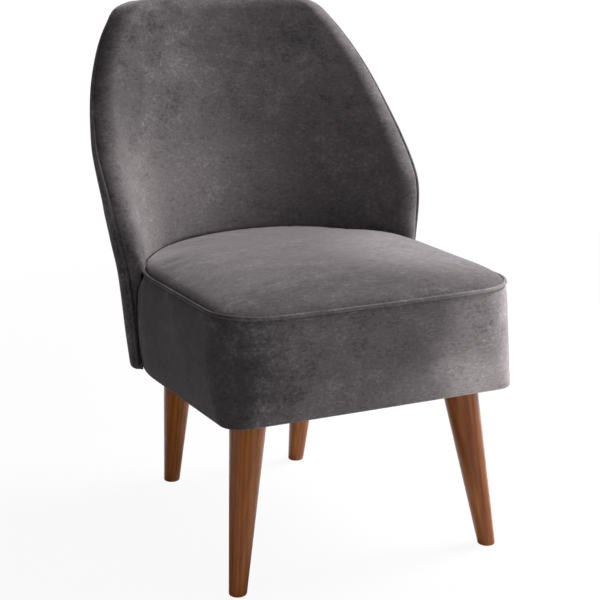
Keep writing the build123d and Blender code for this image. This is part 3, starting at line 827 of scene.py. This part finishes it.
def velvetFinish(name, lines, places):
    finish = Finish(name)
    spot = finish.place()
    run = velvet["ribRun"]
    patches = finish.cloud(spot, *velvet["patches"])
    rubbed = finish.cloud(finish.place(lines), *velvet["rubbed"])
    mottle = finish.cloud(spot, *velvet["mottle"])
    ribs = finish.cloud(finish.place((lines[0] * run, lines[1] * run, lines[2])), *velvet["ribs"])
    pile = finish.cloud(spot, *velvet["pile"])
    nap = patches * 0.25 + rubbed * 0.22 + mottle * 0.33 + ribs * 0.2
    low = finish.mix(finish.between(nap, *velvet["darkTo"]), velvet["dark"], velvet["plain"])
    colour = finish.mix(finish.between(nap, *velvet["lightFrom"]), low, velvet["light"])
    # painted light and shade: each place lightens or darkens the colour, fading out at its ragged edge
    for centre, size, gain in places:
        away = finish.add("ShaderNodeVectorMath", {"operation": "SUBTRACT"}, {0: spot, 1: centre})
        away = finish.add("ShaderNodeVectorMath", {"operation": "DIVIDE"}, {0: away, 1: size})
        away = finish.add("ShaderNodeVectorMath", {"operation": "LENGTH"}, {0: away}, "Value")
        ragged = away + (patches - 0.5) * 1.6 + (rubbed - 0.5) * 1.1 + (mottle - 0.5) * 0.6
        shade = 1 + (1 - finish.between(ragged, *velvet["paintedEdge"])) * gain
        colour = finish.add("ShaderNodeMix", {"data_type": "RGBA", "blend_type": "MULTIPLY"},
                            {0: 1.0, 6: colour, 7: shade}, 2)
    soft = finish.bump(rubbed * 0.5 + mottle * 0.5, *velvet["softBump"])
    return finish.surface(
        Base_Color=colour, Roughness=velvet["roughness"] + (nap - 0.5) * 0.3,
        Normal=finish.bump(pile, *velvet["pileBump"], soft), Specular_IOR_Level=velvet["specular"],
        Sheen_Weight=velvet["sheen"], Sheen_Roughness=velvet["sheenRoughness"],
        Sheen_Tint=velvet["sheenTint"])


# Stained wood with a satin lacquer: long streaks, pores and darker growth lines along the leg
legWood = {
    "stops": (
        (0.22, (0.150, 0.032, 0.002)), (0.42, (0.230, 0.056, 0.004)), (0.58, (0.310, 0.090, 0.008)),
        (0.78, (0.420, 0.150, 0.018)),
    ),
    "poreColour": rgb(0.060, 0.016, 0.004), "poreEdge": (0.56, 0.7), "poreBump": (0.00025, 0.3),
    "along": (26.0, 26.0, 1.5), "pores": (420.0, 420.0, 9.0), "streak": (2.2, 6.0, 0.62, 1.2),
    "lines": {"Scale": 1.7, "Distortion": 5.0, "Detail": 4.0, "Detail Scale": 1.4},
    "roughness": 0.34, "specular": 0.18, "coat": 0.4, "coatRoughness": 0.16,
}


def legFinish():
    finish = Finish("legWood")
    along = finish.place(legWood["along"])
    streak = finish.cloud(along, *legWood["streak"])
    lines = finish.add("ShaderNodeTexWave", {"wave_type": "BANDS", "bands_direction": "X"},
                       {"Vector": along, **legWood["lines"]}, "Fac")
    pore = finish.between(finish.cloud(finish.place(legWood["pores"]), 1.0, 3.0, 0.6), *legWood["poreEdge"])
    grain = streak * 0.85 + lines * 0.15
    colour = finish.add("ShaderNodeValToRGB", {"stops": legWood["stops"]}, {"Fac": grain})
    return finish.surface(
        Base_Color=finish.mix(pore * 0.4, colour, legWood["poreColour"]),
        Roughness=legWood["roughness"] + pore * 0.2 + (streak - 0.5) * 0.15,
        Normal=finish.bump(pore, *legWood["poreBump"]), Specular_IOR_Level=legWood["specular"],
        Coat_Weight=legWood["coat"], Coat_Roughness=legWood["coatRoughness"])


def woodFinish(name, dark, light, grain):
    finish = Finish(name)
    along = finish.place(grain)
    streak = finish.cloud(along, 1.6, 6.0, 0.6, 0.8)
    fibre = finish.cloud(along, 14.0, 3.0, 0.6)
    colour = finish.mix(finish.between(streak * 0.75 + fibre * 0.25, 0.32, 0.7), dark, light)
    return finish.surface(
        Base_Color=colour, Roughness=0.6 + fibre * 0.25, Normal=finish.bump(fibre, 0.0003, 0.4))


def plyFinish():
    finish = Finish("plywood")
    spot = finish.place()
    layers = finish.add("ShaderNodeTexWave", {"bands_direction": "Z"}, {
        "Vector": spot, "Scale": 60.0, "Distortion": 1.5, "Detail": 2.0}, "Fac")
    streak = finish.cloud(finish.place((8.0, 8.0, 90.0)), 1.3, 5.0, 0.6)
    colour = finish.mix(streak * 0.7 + layers * 0.3, rgb(0.36, 0.22, 0.10), rgb(0.62, 0.44, 0.25))
    return finish.surface(
        Base_Color=colour, Roughness=0.58 + streak * 0.2, Normal=finish.bump(streak, 0.0003, 0.4))


def wovenFinish(name, dark, light, pitch, rough=0.85):
    # plain weave from two crossing sets of threads
    finish = Finish(name)
    spot = finish.place()
    cross = finish.add("ShaderNodeSeparateXYZ", None, {0: spot}, 0)
    along = Socket(finish, cross.plug.node.outputs[1])
    warp = finish.add("ShaderNodeMath", {"operation": "SINE"}, {0: cross * (2 * math.pi / pitch)})
    weft = finish.add("ShaderNodeMath", {"operation": "SINE"}, {0: along * (2 * math.pi / pitch)})
    weave = warp * weft * 0.5 + 0.5
    worn = finish.cloud(spot, 40.0, 4.0, 0.6)
    colour = finish.mix(finish.between(weave * 0.6 + worn * 0.4, 0.2, 0.8), dark, light)
    return finish.surface(
        Base_Color=colour, Roughness=rough - worn * 0.1, Normal=finish.bump(weave, pitch * 0.2, 0.6))


def foamFinish():
    finish = Finish("foam")
    spot = finish.place()
    cells = finish.add("ShaderNodeTexVoronoi", None, {"Vector": spot, "Scale": 700.0}, "Distance")
    stain = finish.cloud(spot, 14.0, 3.0)
    colour = finish.mix(stain, rgb(0.72, 0.66, 0.46), rgb(0.86, 0.82, 0.64))
    return finish.surface(
        Base_Color=colour, Roughness=0.9 - stain * 0.1, Normal=finish.bump(cells, 0.0008, 0.5))


def zincFinish():
    finish = Finish("zincSteel")
    spot = finish.place()
    spangle = finish.cloud(spot, 260.0, 3.0, 0.6)
    colour = finish.mix(spangle, rgb(0.46, 0.47, 0.48), rgb(0.68, 0.69, 0.70))
    return finish.surface(Base_Color=colour, Metallic=1.0, Roughness=0.28 + spangle * 0.25,
                          Normal=finish.bump(spangle, 0.0001, 0.3))


finishes = {
    "seatVelvet": velvetFinish("seatVelvet", (0.45, 1.0, 1.0), paintedLightAndShade["seat"]),
    "bandVelvet": velvetFinish("bandVelvet", (0.7, 0.7, 1.0), paintedLightAndShade["band"]),
    "backVelvet": velvetFinish("backVelvet", (0.7, 0.7, 0.9), paintedLightAndShade["back"]),
    "legWood": legFinish(),
    "frameWood": woodFinish("frameWood", rgb(0.30, 0.19, 0.09), rgb(0.58, 0.42, 0.24), (5.0, 5.0, 40.0)),
    "plywood": plyFinish(),
    "webbing": wovenFinish("webbing", rgb(0.16, 0.11, 0.06), rgb(0.42, 0.33, 0.21), 0.003),
    "hessian": wovenFinish("hessian", rgb(0.22, 0.15, 0.08), rgb(0.52, 0.41, 0.26), 0.0022),
    "dustCloth": wovenFinish("dustCloth", rgb(0.012, 0.012, 0.013), rgb(0.035, 0.035, 0.037), 0.0016, 0.95),
    "foam": foamFinish(),
    "zincSteel": zincFinish(),
}


def dress(made, finish):
    made.data.materials.clear()
    made.data.materials.append(finishes[finish])


def use(made, finish, slot, *nodes):
    dress(made, finish)
    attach(made, "root")
    if nodes:
        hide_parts(*nodes)


use(seatTop, "seatVelvet", "velvet", "seat_top_cover", "seat_foam")
use(seatBand, "bandVelvet", "velvet", "seat_boxing_cover", "seat_rail_padding")
use(seatCord, "bandVelvet", "velvet", "seat_piping")
use(insideBack, "backVelvet", "velvet", "inside_back_cover", "back_foam")
use(outsideBack, "backVelvet", "velvet", "outside_back_cover")
use(backCord, "backVelvet", "velvet", "back_piping")
for name, made in legs.items():
    use(made, "legWood", "leg_wood", leg["nodes"][name])
use(dustCover, "dustCloth", "dust_cloth", "dust_cover")
use(dustStaples, "zincSteel", "zinc_steel")

# Inner pieces keep the solids' shapes and get their own finish
innerFinish = {
    "frameWood": ("seat_front_rail", "seat_left_rail", "seat_right_rail", "seat_rear_rail",
                  "front_left_corner_block", "front_right_corner_block", "rear_left_leg_block",
                  "rear_right_leg_block"),
    "plywood": ("back_shell",),
    "webbing": ("seat_webbing_long", "seat_webbing_cross"),
    "hessian": ("webbing_hessian",),
    "zincSteel": ("leg_hanger_bolts", "leg_prong_nuts", "back_bolts"),
}
for finish, nodes in innerFinish.items():
    for node in nodes:
        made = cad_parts[node]
        for index in range(max(1, len(made.material_slots))):
            if index < len(made.material_slots):
                made.material_slots[index].material = finishes[finish]
            else:
                made.data.materials.append(finishes[finish])
print("finishes set")

# Pale floor and white surround: white to the camera and in the lacquer, soft grey light for the chair
studio = {"floor": 6.0, "light": 0.06, "shadow": 0.07, "fade": (0.7, 2.2)}


def makeFloor():
    size = studio["floor"]
    corners = [(-size, -size, 0), (size, -size, 0), (size, size, 0), (-size, size, 0)]
    floor = meshObject("floor", corners, [(0, 1, 2, 3)])
    finish = Finish("paleFloor")
    seen = finish.add("ShaderNodeLightPath", output="Is Camera Ray")
    white = finish.add("ShaderNodeEmission", None, {"Color": rgb(1, 1, 1), "Strength": 1.0})
    grain = finish.cloud(finish.place(), 3.0)
    plain = finish.add("ShaderNodeBsdfPrincipled", None, {
        "Base Color": finish.mix(grain, rgb(0.80, 0.80, 0.80), rgb(0.83, 0.83, 0.83)), "Roughness": 0.9})
    away = finish.add("ShaderNodeVectorMath", {"operation": "LENGTH"}, {0: finish.place()}, "Value")
    clear = 1 - (1 - finish.between(away, *studio["fade"])) * studio["shadow"]
    shown = finish.add("ShaderNodeMixShader", None, {0: seen * clear, 1: plain, 2: white})
    finish.add("ShaderNodeOutputMaterial", None, {"Surface": shown})
    floor.data.materials.append(finish.material)


def makeSurround():
    world = bpy.data.worlds.new("studio")
    bpy.context.scene.world = world
    world.use_nodes = True
    nodes, links = world.node_tree.nodes, world.node_tree.links
    nodes.clear()
    path = nodes.new("ShaderNodeLightPath")
    seen = path.outputs["Is Camera Ray"]
    for kind in ("Is Glossy Ray", "Is Transmission Ray"):
        either = nodes.new("ShaderNodeMath")
        either.operation = "MAXIMUM"
        links.new(seen, either.inputs[0])
        links.new(path.outputs[kind], either.inputs[1])
        seen = either.outputs[0]
    strength = nodes.new("ShaderNodeMapRange")
    strength.inputs["To Min"].default_value = studio["light"]
    strength.inputs["To Max"].default_value = 1.0
    links.new(seen, strength.inputs["Value"])
    glow = nodes.new("ShaderNodeBackground")
    glow.inputs["Color"].default_value = rgb(1.0, 1.0, 1.0)
    links.new(strength.outputs[0], glow.inputs["Strength"])
    out = nodes.new("ShaderNodeOutputWorld")
    links.new(glow.outputs[0], out.inputs["Surface"])


lamps = {
    "key": {"place": (2.0, 0.0, 2.05), "aim": (0.0, 0.0, 0.45), "size": 1.2, "power": 112.0},
    "front": {"place": (1.1, -2.6, 1.3), "aim": (0.0, 0.0, 0.4), "size": 1.8, "power": 19.0},
    "behind": {"place": (-0.5, 2.7, 1.1), "aim": (0.0, 0.1, 0.5), "size": 1.4, "power": 9.0},
    "strip": {"place": (-1.9, -0.2, 0.5), "aim": (0.0, 0.0, 0.2), "size": 0.45, "power": 4.0},
}


def aim(made, place, target):
    made.location = place
    made.rotation_euler = (Vector(target) - Vector(place)).to_track_quat("-Z", "Y").to_euler()


def makeLamps():
    for name, lamp in lamps.items():
        data = bpy.data.lights.new(name, "AREA")
        data.shape = "SQUARE"
        data.size = lamp["size"]
        data.energy = lamp["power"]
        made = bpy.data.objects.new(name, data)
        bpy.context.scene.collection.objects.link(made)
        aim(made, lamp["place"], lamp["aim"])


camera = {
    "place": (-1.1355, -2.3099, 1.0197), "aim": (-0.0018, -0.046, 0.3602), "lens": 102.0, "sensor": 36.0,
}


def makeCamera():
    data = bpy.data.cameras.new("camera")
    data.lens = camera["lens"]
    data.sensor_width = camera["sensor"]
    made = bpy.data.objects.new("camera", data)
    bpy.context.scene.collection.objects.link(made)
    aim(made, camera["place"], camera["aim"])
    bpy.context.scene.camera = made


makeFloor()
makeSurround()
makeLamps()
makeCamera()
bpy.context.scene.view_settings.view_transform = "Standard"
print("studio set")

bpy.context.view_layer.update()
